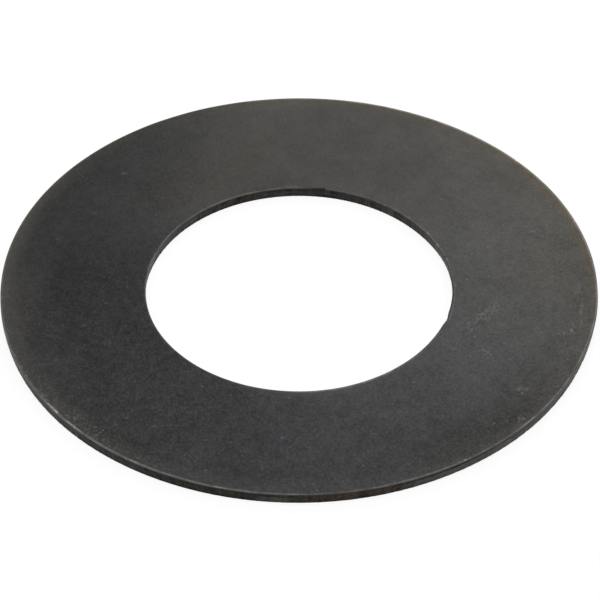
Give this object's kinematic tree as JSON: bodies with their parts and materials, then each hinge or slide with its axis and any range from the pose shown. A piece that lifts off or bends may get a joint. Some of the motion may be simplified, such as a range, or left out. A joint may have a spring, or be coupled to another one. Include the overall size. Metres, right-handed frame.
{
  "type": "shim washer",
  "caption": "Flat ring of blackened sheet steel with a rolled rim and bore, slipped over a pin to take up end play.",
  "frame": {"origin": "centre of the underside, on the bore's axis", "axes": "+Z along the bore's axis, from the underside to the face with the rolled edges; X and Y lie in the underside"},
  "size_m": [0.08, 0.08, 0.0016],
  "materials": {
    "blackened_steel": "matte black oxide over rolled sheet, with the bare edges a little lighter and browner"
  },
  "bodies": {
    "root": {"shim_washer": "blackened_steel"}
  },
  "joints": []
}
